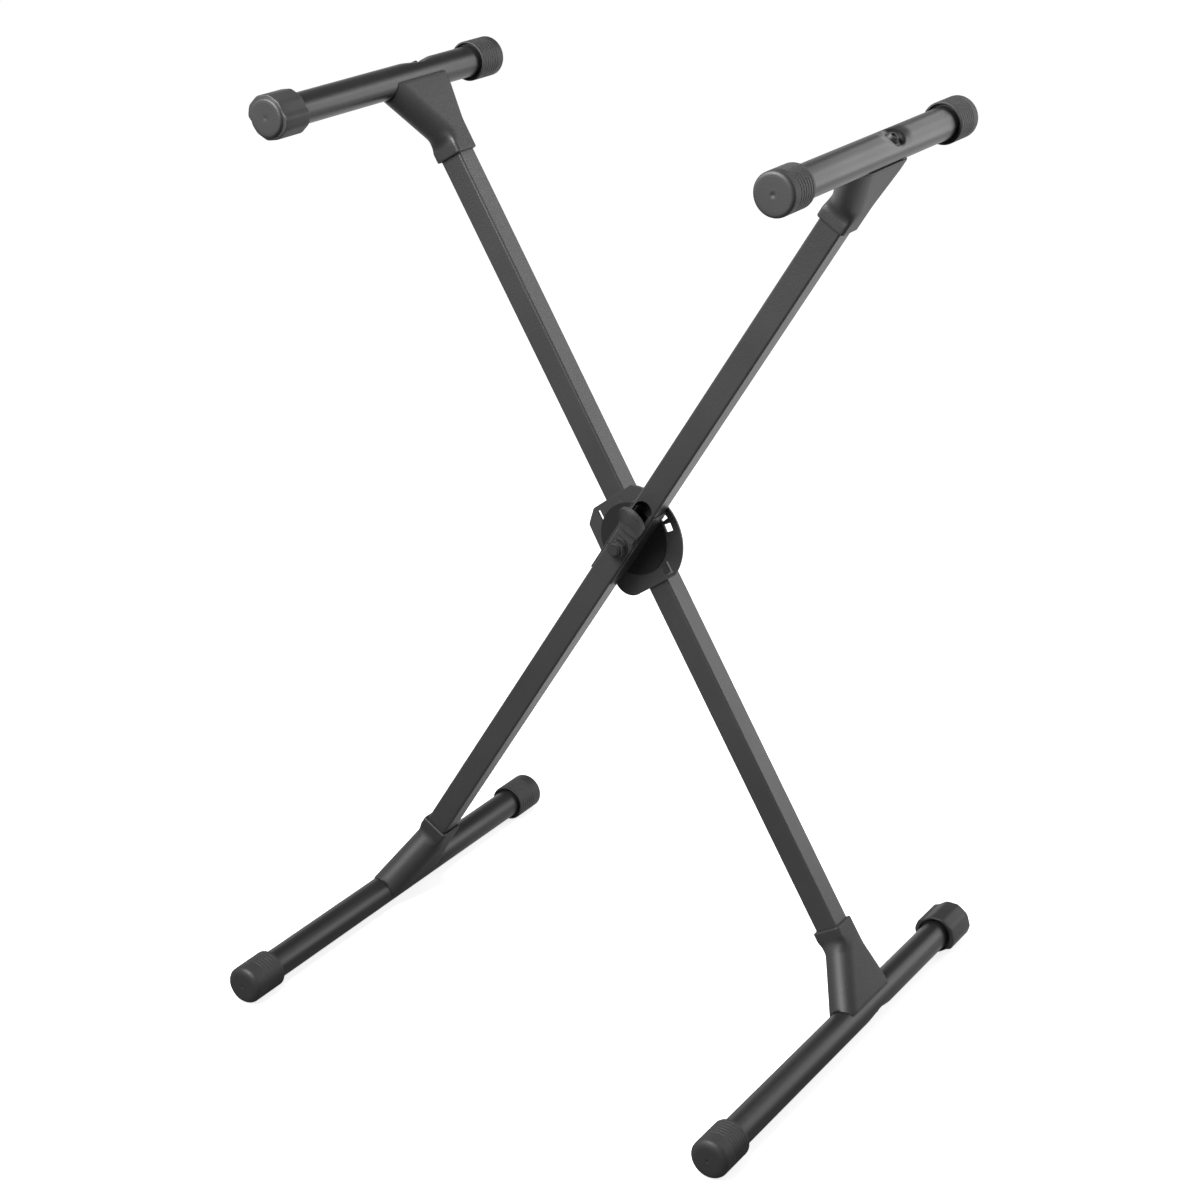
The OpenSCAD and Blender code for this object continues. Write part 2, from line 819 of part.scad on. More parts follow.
module release_lever() {
    tab_l = (tab_tip - tab_bend) / cos(tab_lean);
    tab_round = tab_l - tab_w / 2;
    foot_half = (tab_foot_w - lever_t) / 2;
    cheek_low = pin_u - pin_d;
    cheek_front = leg_front + leg_wall + 2 * pass_gap;
    color("dimgray")
        on_leg(front)
            difference() {
                union() {
                    box_span([-foot_half, foot_half], [tab_back - lever_t, tab_back],
                        [tab_low, tab_bend + lever_t / 2]);
                    translate([0, tab_back - lever_t, tab_bend])
                        rotate([tab_lean, 0, 0]) {
                            translate([0, lever_t, 0])
                                rotate([90, 0, 0])
                                    linear_extrude(lever_t)
                                        polygon([[-tab_foot_w / 2, 0], [-tab_w / 2, tab_round],
                                            [tab_w / 2, tab_round], [tab_foot_w / 2, 0]]);
                            translate([0, 0, tab_round])
                                rod_y(tab_w, 0, lever_t);
                        }
                    box_span([-lever_half, lever_half], [tab_back - lever_t / 2, cheek_front + lever_t],
                        [neck_low, tab_bend]);
                    for (x = [-lever_half, cheek_in])
                        box_span([x, x + lever_t], [cheek_front, web_back],
                            [cheek_low, tooth_top + lever_t]);
                    box_span([-lever_half + lever_t / 2, lever_half - lever_t / 2],
                        [web_back - lever_t, web_back], [lock_hole_r - tooth_w, web_top]);
                    box_span([-tooth_w / 2, tooth_w / 2], [web_back - lever_t, plate_front - pass_gap],
                        [lock_hole_r - tooth_w / 2, tooth_top]);
                    translate([0, 0, spring_u])
                        rod_y(spring_d - wire_d - 2 * pass_gap, web_back - 2 * lever_t, web_back);
                }
                translate([-leg_w, pin_y, pin_u])
                    rotate([0, 90, 0])
                        cylinder(d = pin_d + 2 * turn_gap, h = 2 * leg_w);
            }
}

module lever_pin() {
    color("silver")
        on_leg(front)
            translate([-leg_w / 2, pin_y, pin_u])
                rotate([0, 90, 0])
                    cylinder(d = pin_d, h = leg_w);
}

wire_sides = 8;
rings_per_curl = 24;
ring_count = curls * rings_per_curl;
spring_from = leg_front + leg_wall + wire_d / 2 + seat_gap;
spring_to = web_back - lever_t - wire_d / 2 - pass_gap;
coil_rise = (spring_to - spring_from) / curls;
function coil_point(t) = [
    spring_d / 2 * cos(360 * t), spring_from + coil_rise * t, spring_u + spring_d / 2 * sin(360 * t)
];
function ring_point(k, side) =
    let (t = k / rings_per_curl, a = 360 * side / wire_sides, out = [cos(360 * t), 0, sin(360 * t)])
        coil_point(t) + wire_d / 2 * (cos(a) * out + sin(a) * [0, 1, 0]);
// Least free gap from any curl to the next one, on the points of the wire's line
coil_gap = min([for (i = [0 : ring_count - rings_per_curl], j = [-4 : 4])
    let (m = i + rings_per_curl + j)
        m > ring_count ? 1000 : norm(coil_point(i / rings_per_curl) - coil_point(m / rings_per_curl)) - wire_d]);
echo(least_gap_between_curls = coil_gap);

module lever_spring() {
    points = [for (k = [0 : ring_count], s = [0 : wire_sides - 1]) ring_point(k, s)];
    sides = [for (k = [0 : ring_count - 1], s = [0 : wire_sides - 1])
        let (n = (s + 1) % wire_sides)
            [k * wire_sides + s, k * wire_sides + n, (k + 1) * wire_sides + n, (k + 1) * wire_sides + s]];
    first = [for (s = [wire_sides - 1 : -1 : 0]) s];
    last = [for (s = [0 : wire_sides - 1]) ring_count * wire_sides + s];
    color("silver")
        on_leg(front)
            polyhedron(points, concat(sides, [first], [last]));
}

leg_front();
leg_rear();
top_bar(front);  // top_bar_right
top_bar(rear);  // top_bar_left
foot_bar(front);  // foot_bar_left
foot_bar(rear);  // foot_bar_right
top_bracket(front);  // bracket_top_right
top_bracket(rear);  // bracket_top_left
foot_bracket(front);  // bracket_foot_left
foot_bracket(rear);  // bracket_foot_right
caps_front_frame();
caps_rear_frame();
levelling_cap_top();
levelling_cap_foot();
bar_bolts(front);  // bar_bolts_front_frame
bar_bolts(rear);  // bar_bolts_rear_frame
leg_plugs(front);  // plugs_front_frame
leg_plugs(rear);  // plugs_rear_frame
lock_plate();
plate_rivets();
hub_bush();
friction_disc();
saddle_plate();
hub_bolt();
hub_nut();
hub_washers();
hub_spacer();
release_lever();
lever_pin();
lever_spring();
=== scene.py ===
"""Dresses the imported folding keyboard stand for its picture. Everything is in metres."""

import json
import math

import bmesh
import bpy
from mathutils import Matrix, Vector


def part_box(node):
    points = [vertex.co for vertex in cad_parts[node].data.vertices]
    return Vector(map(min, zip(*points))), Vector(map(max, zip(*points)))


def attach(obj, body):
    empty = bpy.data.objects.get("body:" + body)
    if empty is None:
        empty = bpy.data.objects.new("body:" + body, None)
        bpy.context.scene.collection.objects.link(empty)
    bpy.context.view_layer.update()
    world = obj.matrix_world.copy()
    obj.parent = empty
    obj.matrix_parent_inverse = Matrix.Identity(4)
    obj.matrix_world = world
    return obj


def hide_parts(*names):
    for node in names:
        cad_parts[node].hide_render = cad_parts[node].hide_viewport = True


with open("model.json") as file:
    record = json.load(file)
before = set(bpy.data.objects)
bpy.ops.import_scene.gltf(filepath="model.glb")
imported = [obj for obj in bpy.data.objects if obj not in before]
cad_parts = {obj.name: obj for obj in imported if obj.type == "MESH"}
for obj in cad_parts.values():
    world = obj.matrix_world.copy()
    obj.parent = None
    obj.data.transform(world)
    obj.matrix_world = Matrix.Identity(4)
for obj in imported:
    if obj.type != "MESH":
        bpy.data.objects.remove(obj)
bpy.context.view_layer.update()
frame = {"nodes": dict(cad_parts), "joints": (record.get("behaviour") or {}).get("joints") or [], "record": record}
NODES = frame["nodes"]
RECORD = frame["record"]
SLOTS = {part["node"]: part["material_slot"] for part in RECORD["subparts"]}
BODIES = {node: body for body, nodes in RECORD["behaviour"]["bodies"].items() for node in nodes}
JOINTS = {joint["name"]: joint for joint in frame["joints"]}

# The front leg rises to the right and the rear one to the left; a bar's front end has the lower Y
FRONT, REAR = 1, -1
FRONT_END, BACK_END = -1, 1

# The leg that each bar sits on
BARS = {
    "top_bar_right": FRONT, "top_bar_left": REAR, "foot_bar_left": FRONT, "foot_bar_right": REAR,
}

# The hub's axis, and the legs' lean from upright, which the lever's pin shows
HUB = Vector(JOINTS["hub_hinge"]["pos_m"])
pin_axis = JOINTS["lever_hinge"]["axis"]
LEAN = math.atan2(-pin_axis[2], pin_axis[0])

# The camera that was fitted to the photograph, with its angles in degrees
CAMERA_AT = (1.19956, -1.94537, 1.37241)
CAMERA_YAW = 31.910
CAMERA_PITCH = -22.813
CAMERA_ROLL = 0.351
FOCAL_PIXELS = 2563.05
PHOTO_WIDTH = 1200
SENSOR_MM = 36
CLIP = (0.05, 50)


def make_camera():
    data = bpy.data.cameras.new("camera")
    data.sensor_width = SENSOR_MM
    data.lens = SENSOR_MM * FOCAL_PIXELS / PHOTO_WIDTH
    data.clip_start, data.clip_end = CLIP
    camera = bpy.data.objects.new("camera", data)
    turn = (Matrix.Rotation(math.radians(CAMERA_YAW), 4, "Z")
            @ Matrix.Rotation(math.radians(90 + CAMERA_PITCH), 4, "X")
            @ Matrix.Rotation(math.radians(CAMERA_ROLL), 4, "Z"))
    camera.matrix_world = Matrix.Translation(CAMERA_AT) @ turn
    bpy.context.scene.collection.objects.link(camera)
    bpy.context.scene.camera = camera


# Materials

# The noise behind a coat's slow drift of colour and roughness, and behind its fine grain
DRIFT_SCALE, DRIFT_DETAIL = 9.0, 3.0
GRAIN_DETAIL, GRAIN_STRENGTH = 2.0, 0.25
NOISE_SPAN = (0.3, 0.7)


def add_node(tree, kind, **inputs):
    """Adds a node and sets its inputs; a _ in an input's name stands for a space."""
    made = tree.nodes.new(kind)
    for name, value in inputs.items():
        made.inputs[name.replace("_", " ")].default_value = value
    return made


def ranged(tree, value, start, end, first, last, smooth=False):
    """A number that goes from the first to the last while the value goes from start to end."""
    made = add_node(tree, "ShaderNodeMapRange",
                    From_Min=start, From_Max=end, To_Min=first, To_Max=last)
    if smooth:
        made.interpolation_type = "SMOOTHSTEP"
    tree.links.new(value, made.inputs["Value"])
    return made.outputs["Result"]


def noise(tree, scale, detail):
    """Noise that stays with its piece."""
    where = add_node(tree, "ShaderNodeTexCoord")
    made = add_node(tree, "ShaderNodeTexNoise", Scale=scale, Detail=detail)
    tree.links.new(where.outputs["Object"], made.inputs["Vector"])
    return made.outputs["Fac"]


def coated(name, first, second, rough, grain, depth, metallic=0.0, ior=1.5):
    """A coat or moulded skin: it drifts softly between two colours and two values of roughness,
    and a fine grain of this scale and depth breaks the shine."""
    material = bpy.data.materials.new(name)
    material.use_nodes = True
    tree = material.node_tree
    surface = tree.nodes["Principled BSDF"]
    surface.inputs["Metallic"].default_value = metallic
    surface.inputs["IOR"].default_value = ior

    drift = noise(tree, DRIFT_SCALE, DRIFT_DETAIL)
    mix = add_node(tree, "ShaderNodeMix")
    mix.data_type = "RGBA"
    mix.inputs["A"].default_value = (*first, 1)
    mix.inputs["B"].default_value = (*second, 1)
    tree.links.new(ranged(tree, drift, *NOISE_SPAN, 0, 1), mix.inputs["Factor"])
    tree.links.new(mix.outputs["Result"], surface.inputs["Base Color"])
    tree.links.new(ranged(tree, drift, *NOISE_SPAN, *rough), surface.inputs["Roughness"])

    bump = add_node(tree, "ShaderNodeBump", Strength=GRAIN_STRENGTH, Distance=depth)
    tree.links.new(noise(tree, grain, GRAIN_DETAIL), bump.inputs["Height"])
    tree.links.new(bump.outputs["Normal"], surface.inputs["Normal"])
    return material


# The look of each material slot
LOOK = {
    "powder_steel": coated("powder_coat", (0.026, 0.026, 0.027), (0.032, 0.032, 0.032),
                           (0.34, 0.4), 650, 0.001),
    "bar_steel": coated("bar_enamel", (0.01, 0.01, 0.011), (0.013, 0.013, 0.013),
                        (0.33, 0.39), 700, 0.00006),
    "plate_steel": coated("plate_paint", (0.026, 0.026, 0.027), (0.033, 0.033, 0.034),
                          (0.36, 0.46), 700, 0.0006),
    "black_plastic": coated("bracket_plastic", (0.017, 0.017, 0.018), (0.023, 0.023, 0.024),
                            (0.46, 0.54), 600, 0.0008),
    "black_rubber": coated("cap_rubber", (0.014, 0.014, 0.014), (0.021, 0.021, 0.021),
                           (0.5, 0.6), 600, 0.0005),
    "pale_plastic": coated("bush_plastic", (0.70, 0.68, 0.62), (0.76, 0.74, 0.69),
                           (0.35, 0.45), 500, 0.00005),
    "dark_fastener": coated("black_oxide", (0.012, 0.012, 0.013), (0.016, 0.016, 0.016),
                            (0.5, 0.6), 800, 0.0001),
    "bright_steel": coated("plated_steel", (0.55, 0.55, 0.56), (0.62, 0.62, 0.62),
                           (0.22, 0.3), 600, 0.00003, metallic=1.0),
}

# The friction disc is darker than the rest of its slot, and the lock plate's lug gets the same dark as painted
# shade
DISC_DARK_AND_LUG_SHADE = coated("dark_disc_and_painted_lug_shade", (0.008, 0.008, 0.008), (0.012, 0.012, 0.012),
              (0.6, 0.7), 700, 0.0006, ior=1.3)


def paint_nodes():
    for name, thing in NODES.items():
        thing.data.materials.clear()
        thing.data.materials.append(LOOK[SLOTS[name]])


# Shapes

def leg_place(side):
    """The leg's own frame: X across the leg, Z up along it from the hub."""
    return Matrix.Translation((HUB.x, 0, HUB.z)) @ Matrix.Rotation(side * LEAN, 4, "Y")


def bar_place(side, node):
    """A bar's own frame on its leg: Z points away from the hub, Y lies along the stand."""
    low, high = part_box(node)
    middle = (low + high) / 2
    reach = math.hypot(middle.x - HUB.x, middle.z - HUB.z)
    if middle.z > HUB.z:
        return leg_place(side) @ Matrix.Translation((0, 0, reach))
    return leg_place(side) @ Matrix.Translation((0, 0, -reach)) @ Matrix.Rotation(math.pi, 4, "Y")


def leg_middle(side):
    """The middle of the leg along Y, and its width."""
    low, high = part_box("leg_front" if side == FRONT else "leg_rear")
    return (low.y + high.y) / 2, high.y - low.y


def smooth_step(value, start, end):
    t = min(max((value - start) / (end - start), 0), 1)
    return t * t * (3 - 2 * t)


def soft_ramp(value, start, end, soft):
    """Climbs in a line from 0 to 1, with both knees rounded over this length."""
    samples = 9
    total = 0
    for k in range(samples):
        moved = value + soft * (2 * k / (samples - 1) - 1)
        total += min(max((moved - start) / (end - start), 0), 1)
    return total / samples


def quarter(steps):
    """The angles of a quarter turn that is taken in this many steps."""
    return [math.radians(90 * k / steps) for k in range(steps + 1)]


def new_piece(name, node, mesh, sharp, stands_in=True):
    """Links a mesh as a piece that rides with a CAD node's body, and by default stands for the
    node. Edges that turn by more than sharp, in degrees, stay sharp."""
    mesh.shade_smooth()
    mesh.set_sharp_from_angle(angle=math.radians(sharp))
    piece = bpy.data.objects.new(name, mesh)
    bpy.context.scene.collection.objects.link(piece)
    mesh.materials.clear()
    mesh.materials.append(LOOK[SLOTS[node]])
    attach(piece, BODIES[node])
    if stands_in:
        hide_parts(node)
    return piece


def ring_mesh(name, rings, place, looped=False):
    """A closed skin through rings of equally many points. A fan closes each end, unless the last
    ring is looped to the first."""
    count = len(rings[0])
    points = [place @ Vector(p) for ring in rings for p in ring]
    faces = []
    for k in range(len(rings) if looped else len(rings) - 1):
        here, there = k * count, (k + 1) % len(rings) * count
        for i in range(count):
            j = (i + 1) % count
            faces.append((here + i, here + j, there + j, there + i))
    if not looped:
        last = (len(rings) - 1) * count
        for ring, start, flip in ((rings[0], 0, True), (rings[-1], last, False)):
            middle = sum((Vector(p) for p in ring), Vector()) / count
            points.append(place @ middle)
            tip = len(points) - 1
            for i in range(count):
                j = (i + 1) % count
                faces.append((tip, start + j, start + i) if flip else (tip, start + i, start + j))
    mesh = bpy.data.meshes.new(name)
    mesh.from_pydata([tuple(p) for p in points], [], faces)
    shell = bmesh.new()
    shell.from_mesh(mesh)
    bmesh.ops.recalc_face_normals(shell, faces=shell.faces)
    shell.to_mesh(mesh)
    shell.free()
    return mesh


def round_edges(piece, width, angle):
    """Rounds the edges that turn by more than this angle, in degrees."""
    bevel = piece.modifiers.new("edges", "BEVEL")
    bevel.width = width
    bevel.segments = 2
    bevel.limit_method = "ANGLE"
    bevel.angle_limit = math.radians(angle)


# The moulded brackets. Z points away from the hub and is 0 at the bar's axis, and Y points to the
# back and is 0 in the leg's middle.

# The square sleeve, and its bore for the leg: where the leg ends, the play round it, the chamfer at
# the mouth, and how far in a second ring lies
SLEEVE_HALF = 0.0155
SLEEVE_CORNER = 0.0032
MOUTH = -0.085
MOUTH_EDGE = 0.0015
LEG_END = -0.0179
BORE_PLAY = 0.0004
BORE_CHAMFER = 0.0003
BORE_CHAMFER_DEEP = 0.0004
BORE_BAND = 0.003

# The flare, over which the outline widens from the sleeve to the saddle: where its front and back
# start, where both end, and where the front turns round
FLARE_FRONT = -0.0705
FLARE_BACK = -0.055
FLARE_TOP = -0.0165
KNEE_SOFT = 0.003
ROUND_START, ROUND_END = -0.076, -0.0585

# The saddle, whose front is a half round and whose top is hollowed for the bar; above WALL_TOP its
# rings bend up with the hollow
SADDLE_HALF = 0.0161
SADDLE_TOP = -0.0055
NOSE = -0.056
NOSE_DEEP = 0.0205
TAIL = 0.023
TAIL_CORNER = 0.0035
BAR_PLAY = 0.0002
EDGE = 0.0005
WALL_TOP = -0.0235

# Up to these shares of a quarter turn, the sleeve's front is flat and its corner is round
FLAT_SHARE, CORNER_SHARE = 0.5, 0.75

# How finely the bracket's skin is divided; a hollow share is how far out a ring of the top lies
FRONT_STEPS = 40
CORNER_STEPS = 8
SIDE_STEPS = 8
MOUTH_STEPS = 4
WALL_STEPS = 40
CLIMB_STEPS = 5
HOLLOW_SHARES = (0.97, 0.93, 0.88, 0.8, 0.6, 0.4, 0.2)


def rounded_corner(x, y, r, start):
    turns = [math.radians(start + 90 * k / CORNER_STEPS) for k in range(CORNER_STEPS + 1)]
    return [(x + r * math.cos(a), y + r * math.sin(a)) for a in turns]


def square_front(share, half, front):
    """The point of a square front at this share of the way from its middle to its side's end."""
    r = SLEEVE_CORNER
    if share < FLAT_SHARE:
        return (half - r) * share / FLAT_SHARE, front
    if share < CORNER_SHARE:
        bend = math.radians(90) * (share - FLAT_SHARE) / (CORNER_SHARE - FLAT_SHARE)
        return half - r + r * math.sin(bend), front + r * (1 - math.cos(bend))
    return half, front + r + (NOSE_DEEP - r) * (share - CORNER_SHARE) / (1 - CORNER_SHARE)


def bracket_outline(z):
    """The bracket's outline at this height: its front turns from a square end into a half round."""
    front_part = (z - FLARE_FRONT) / (FLARE_TOP - FLARE_FRONT)
    knee = KNEE_SOFT / (FLARE_TOP - FLARE_FRONT)
    if abs(front_part) > knee:
        front_part = max(front_part, 0)
    else:
        front_part = (front_part + knee) ** 2 / (4 * knee)
    back_part = soft_ramp(z, FLARE_BACK, FLARE_TOP, KNEE_SOFT)
    half = SLEEVE_HALF + (SADDLE_HALF - SLEEVE_HALF) * min(front_part, 1)
    front = -SLEEVE_HALF + (NOSE + SLEEVE_HALF) * front_part
    back = SLEEVE_HALF + (TAIL - SLEEVE_HALF) * back_part
    roundness = smooth_step(z, ROUND_START, ROUND_END)

    inside = half - TAIL_CORNER
    side_start, side_end = back - TAIL_CORNER, front + NOSE_DEEP
    side = [side_start + (side_end - side_start) * k / SIDE_STEPS for k in range(1, SIDE_STEPS)]
    outline = rounded_corner(inside, side_start, TAIL_CORNER, 0)
    outline += [(inside - 2 * inside * k / SIDE_STEPS, back) for k in range(1, SIDE_STEPS)]
    outline += rounded_corner(-inside, side_start, TAIL_CORNER, 90)
    outline += [(-half, y) for y in side]
    for k in range(FRONT_STEPS + 1):
        turn = math.radians(-90 + 180 * k / FRONT_STEPS)
        round_x, round_y = half * math.sin(turn), front + NOSE_DEEP * (1 - math.cos(turn))
        square_x, square_y = square_front(abs(turn) / math.radians(90), half, front)
        square_x = math.copysign(square_x, turn)
        outline.append((square_x + (round_x - square_x) * roundness,
                        max(square_y + (round_y - square_y) * roundness, NOSE)))
    outline += [(half, y) for y in reversed(side)]
    return [Vector(p) for p in outline]


def shrunk(outline, by):
    """The outline with every point moved inwards along its own normal."""
    moved = []
    count = len(outline)
    for k, p in enumerate(outline):
        along = outline[(k + 1) % count] - outline[k - 1]
        moved.append(p + Vector((-along.y, along.x)).normalized() * by)
    return moved


def make_bracket(name, node, side, bar):
    middle_y, leg_w = leg_middle(side)
    low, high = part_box(bar)
    bar_r = (high.x - low.x) / 2 + BAR_PLAY
    mouth = bracket_outline(MOUTH)
    wall_end = bracket_outline(WALL_TOP)

    def rim(x):
        """Height at which the saddle ends: on the bar, or level beside it."""
        return -math.sqrt(max(bar_r ** 2 - x ** 2, SADDLE_TOP ** 2))

    def bore(half, z):
        """A ring of the square bore, with as many points as the outside has."""
        grown = [p * (half / SLEEVE_HALF) for p in mouth]
        return [(max(-half, min(half, p.x)), max(-half, min(half, p.y)), z) for p in grown]

    def climb(part):
        """A ring that is part of the way from the last level ring up to the rim."""
        ring = []
        for k, p in enumerate(wall_end):
            z = WALL_TOP + part * (rim(p.x) - EDGE - WALL_TOP)
            ring.append(Vector((*bracket_outline(z)[k], z)))
        return ring

    bore_half = leg_w / 2 + BORE_PLAY
    rings = [bore(bore_half, z) for z in (LEG_END, MOUTH + BORE_BAND, MOUTH + BORE_CHAMFER_DEEP)]
    rings.append(bore(bore_half + BORE_CHAMFER, MOUTH))
    for turn in quarter(MOUTH_STEPS):
        edge = shrunk(mouth, MOUTH_EDGE * (1 - math.sin(turn)))
        rings.append([(p.x, p.y, MOUTH + MOUTH_EDGE * (1 - math.cos(turn))) for p in edge])
    wall_start = MOUTH + MOUTH_EDGE
    for k in range(1, WALL_STEPS + 1):
        z = wall_start + (WALL_TOP - wall_start) * k / WALL_STEPS
        rings.append([(p.x, p.y, z) for p in bracket_outline(z)])
    rings += [climb(k / CLIMB_STEPS) for k in range(1, CLIMB_STEPS + 1)]
    top = rings[-1]
    outside = [p.to_2d() for p in top]
    for turn in quarter(2)[1:]:
        edge = shrunk(outside, EDGE * (1 - math.cos(turn)))
        rings.append([(p.x, p.y, q.z + EDGE * math.sin(turn)) for p, q in zip(edge, top)])
    hollow = shrunk(outside, EDGE)
    centre_y = (NOSE + TAIL) / 2
    for share in HOLLOW_SHARES:
        rings.append([(p.x * share, centre_y + (p.y - centre_y) * share, rim(p.x * share))
                      for p in hollow])
    place = bar_place(side, bar) @ Matrix.Translation((0, middle_y, 0))
    return new_piece(name, node, ring_mesh(name, rings, place), sharp=50)


# The bars, with the bowl that is pressed in for the bolt's head

BAR_WALL = 0.0015
BAR_STEPS = 24
BAR_SIDES = 96

# The bowl: its floor's height over the bar's axis, its floor's and rim's radius, and the share of
# its depth that fades out further, as far as its reach
BOWL_FLOOR = 0.009
BOWL_FLOOR_R = 0.0079
BOWL_RIM_R = 0.0135
BOWL_REACH = 0.026
BOWL_WIDE_SHARE = 0.33

# The close rings at the bowl: their pitch, their number on each side, and the gap beyond them
BOWL_PITCH = 0.0009
BOWL_STEPS = 31
BOWL_GAP = 0.002


def press(x, y, z, floor):
    """Height of a bar's skin after the bowl is pressed in."""
    away = math.hypot(x, y)
    deep = (1 - BOWL_WIDE_SHARE) * (1 - smooth_step(away, BOWL_FLOOR_R, BOWL_RIM_R))
    wide = BOWL_WIDE_SHARE * (1 - smooth_step(away, BOWL_FLOOR_R, BOWL_REACH))
    return z - (deep + wide) * max(z - floor, 0)


def make_bar(name, node, side):
    bowl_y, _ = leg_middle(side)
    low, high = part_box(node)
    radius = (high.x - low.x) / 2
    stops = [low.y + (high.y - low.y) * k / BAR_STEPS for k in range(BAR_STEPS + 1)]
    stops = [y for y in stops if abs(y - bowl_y) > BOWL_REACH + BOWL_GAP]
    stops += [bowl_y + BOWL_PITCH * k for k in range(-BOWL_STEPS, BOWL_STEPS + 1)]
    stops.sort()
    rings = []
    for r, floor, ys in ((radius, BOWL_FLOOR, stops),
                         (radius - BAR_WALL, BOWL_FLOOR - BAR_WALL, stops[::-1])):
        for y in ys:
            ring = []
            for k in range(BAR_SIDES):
                turn = 2 * math.pi * k / BAR_SIDES
                x, z = r * math.sin(turn), r * math.cos(turn)
                ring.append((x, y, press(x, y - bowl_y, z, floor)))
            rings.append(ring)
    mesh = ring_mesh(name, rings, bar_place(side, node), looped=True)
    return new_piece(name, node, mesh, sharp=60)


# The end caps. Z is along a cap from its mouth to its closed end.

# Radius, bore, thickness of the closed end, its gap to the bar's end, and sides of a plain cap
CAP_R = 0.0195
CAP_BORE = 0.01505
CAP_END = 0.004
CAP_PLAY = 0.0003
CAP_SIDES = 96

# The wider recess inside the mouth, its inner edge, and the mouth's chamfer outwards and inwards
CAP_RECESS = 0.0177
CAP_RECESS_DEPTH = 0.004
CAP_RECESS_EDGE = 0.0003
CAP_CHAMFER, CAP_CHAMFER_DEEP = 0.0002, 0.0004

# A plain cap's rounded lip, the grooves behind it, and how far its end rises to the middle
CAP_LIP = 0.0007
CAP_RISE = 0.0002
GROOVES = 6
GROOVE_PITCH = 0.004
GROOVE_WIDTH = 0.0008
GROOVE_DEPTH = 0.0003

# A groove's section in shares of its width and depth, and an end's rings in shares of its radius
GROOVE_SECTION = ((-0.2, 0), (0.2, 1), (0.8, 1), (1.2, 0))
PLAIN_END = (0.8, 0.5, 0.25)

# The dimple in an end: shares of its radius, and depths below the end
DIMPLE_R = 0.0013
PLAIN_DIMPLE = ((1.2, 0), (1, 0.0002), (0.5, 0.0004))
CAM_DIMPLE = ((1.3, 0.0001), (1, 0.0002), (0.5, 0.00035))

# A plain cap's length, and how far its end rounds in and how far along
TOP_CAP = (0.037, 0.0035, 0.0035)
FOOT_CAP = (0.0435, 0.0075, 0.006)
PLAIN_CAPS = (
    ("cap_top_right_front", "top_bar_right", FRONT_END, TOP_CAP),
    ("cap_top_right_back", "top_bar_right", BACK_END, TOP_CAP),
    ("cap_top_left_back", "top_bar_left", BACK_END, TOP_CAP),
    ("cap_foot_left_front", "foot_bar_left", FRONT_END, FOOT_CAP),
    ("cap_foot_left_back", "foot_bar_left", BACK_END, FOOT_CAP),
    ("cap_foot_right_front", "foot_bar_right", FRONT_END, FOOT_CAP),
)

# A levelling cap's outline, or cam, climbs in flats up to two crests. A flat is left out where it
# faces more than CAM_FACING radians away. The upper cap is turned as in the photograph, in degrees.
CAM_LOW = 0.0006
CAM_RISE = 0.00085
CAM_FLATS = 5
CAM_STEP = math.pi / CAM_FLATS
CAM_START = math.pi / 2 - CAM_STEP
CAM_FACING = 1.2
CAM_SIDES = 180
CAM_SOFTENING = 12
TOP_CAM_TURN = -26

# Its roundings at the mouth, at the cam's far end and at the nose beyond it
CAM_EDGE = 0.0011
CAM_SHOULDER = 0.001
CAM_ROUND_STEPS = 4
NOSE_EDGE = 0.0022

# Its nose: length, radius, the fillet's widths at two heights, how much narrower the rounded
# edge is, and the end's rings in shares of the radius, a little below the top
CAM_NOSE = 0.003
CAM_NOSE_R = 0.018
NOSE_FILLET = ((0.0001, 0.0002), (0.0006, 0))
NOSE_TUCK = 0.0002
NOSE_END = (0.7, 0.45, 0.25)
NOSE_SINK = 0.00005

# Where its straight part has rings
CAM_RINGS = (0.008, 0.02)


def cap_place(x, y, z, back):
    """A cap's own frame, with its mouth here and its end at the bar's front or back."""
    return Matrix.Translation((x, y, z)) @ Matrix.Rotation(math.radians(-90 * back), 4, "X")


def cap_inside(length):
    """The inside of a cap, from its end to its mouth, as radii and heights."""
    return [(CAP_BORE, length - CAP_END), (CAP_BORE, CAP_RECESS_DEPTH),
            (CAP_RECESS - CAP_RECESS_EDGE, CAP_RECESS_DEPTH),
            (CAP_RECESS, CAP_RECESS_DEPTH - CAP_RECESS_EDGE),
            (CAP_RECESS, CAP_CHAMFER_DEEP), (CAP_RECESS + CAP_CHAMFER, 0)]


def dimple(length, steps):
    return [(DIMPLE_R * share, length - deep) for share, deep in steps]


def make_plain_cap(name, bar, back, sizes):
    node = "caps_front_frame" if BARS[bar] == FRONT else "caps_rear_frame"
    length, round_in, round_along = sizes
    low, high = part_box(bar)
    middle = (low + high) / 2
    end = (high.y if back == BACK_END else low.y) + back * (CAP_END + CAP_PLAY)
    section = cap_inside(length)
    section += [(CAP_R - CAP_LIP + CAP_LIP * math.sin(a), CAP_LIP - CAP_LIP * math.cos(a))
                for a in quarter(4)]
    for k in range(1, GROOVES + 1):
        for along, deep in GROOVE_SECTION:
            section.append((CAP_R - deep * GROOVE_DEPTH, k * GROOVE_PITCH + along * GROOVE_WIDTH))
    flat = CAP_R - round_in
    section += [(flat + round_in * math.cos(a),
                 length - round_along + (round_along - CAP_RISE) * math.sin(a))
                for a in quarter(8)]
    section += [(flat * share, length - CAP_RISE * share) for share in PLAIN_END]
    section += dimple(length, PLAIN_DIMPLE)
    turns = [2 * math.pi * k / CAP_SIDES for k in range(CAP_SIDES)]
    rings = [[(r * math.cos(a), r * math.sin(a), z) for a in turns] for r, z in section]
    place = cap_place(middle.x, end - back * length, middle.z, back)
    return new_piece(name, node, ring_mesh(name, rings, place), sharp=40)


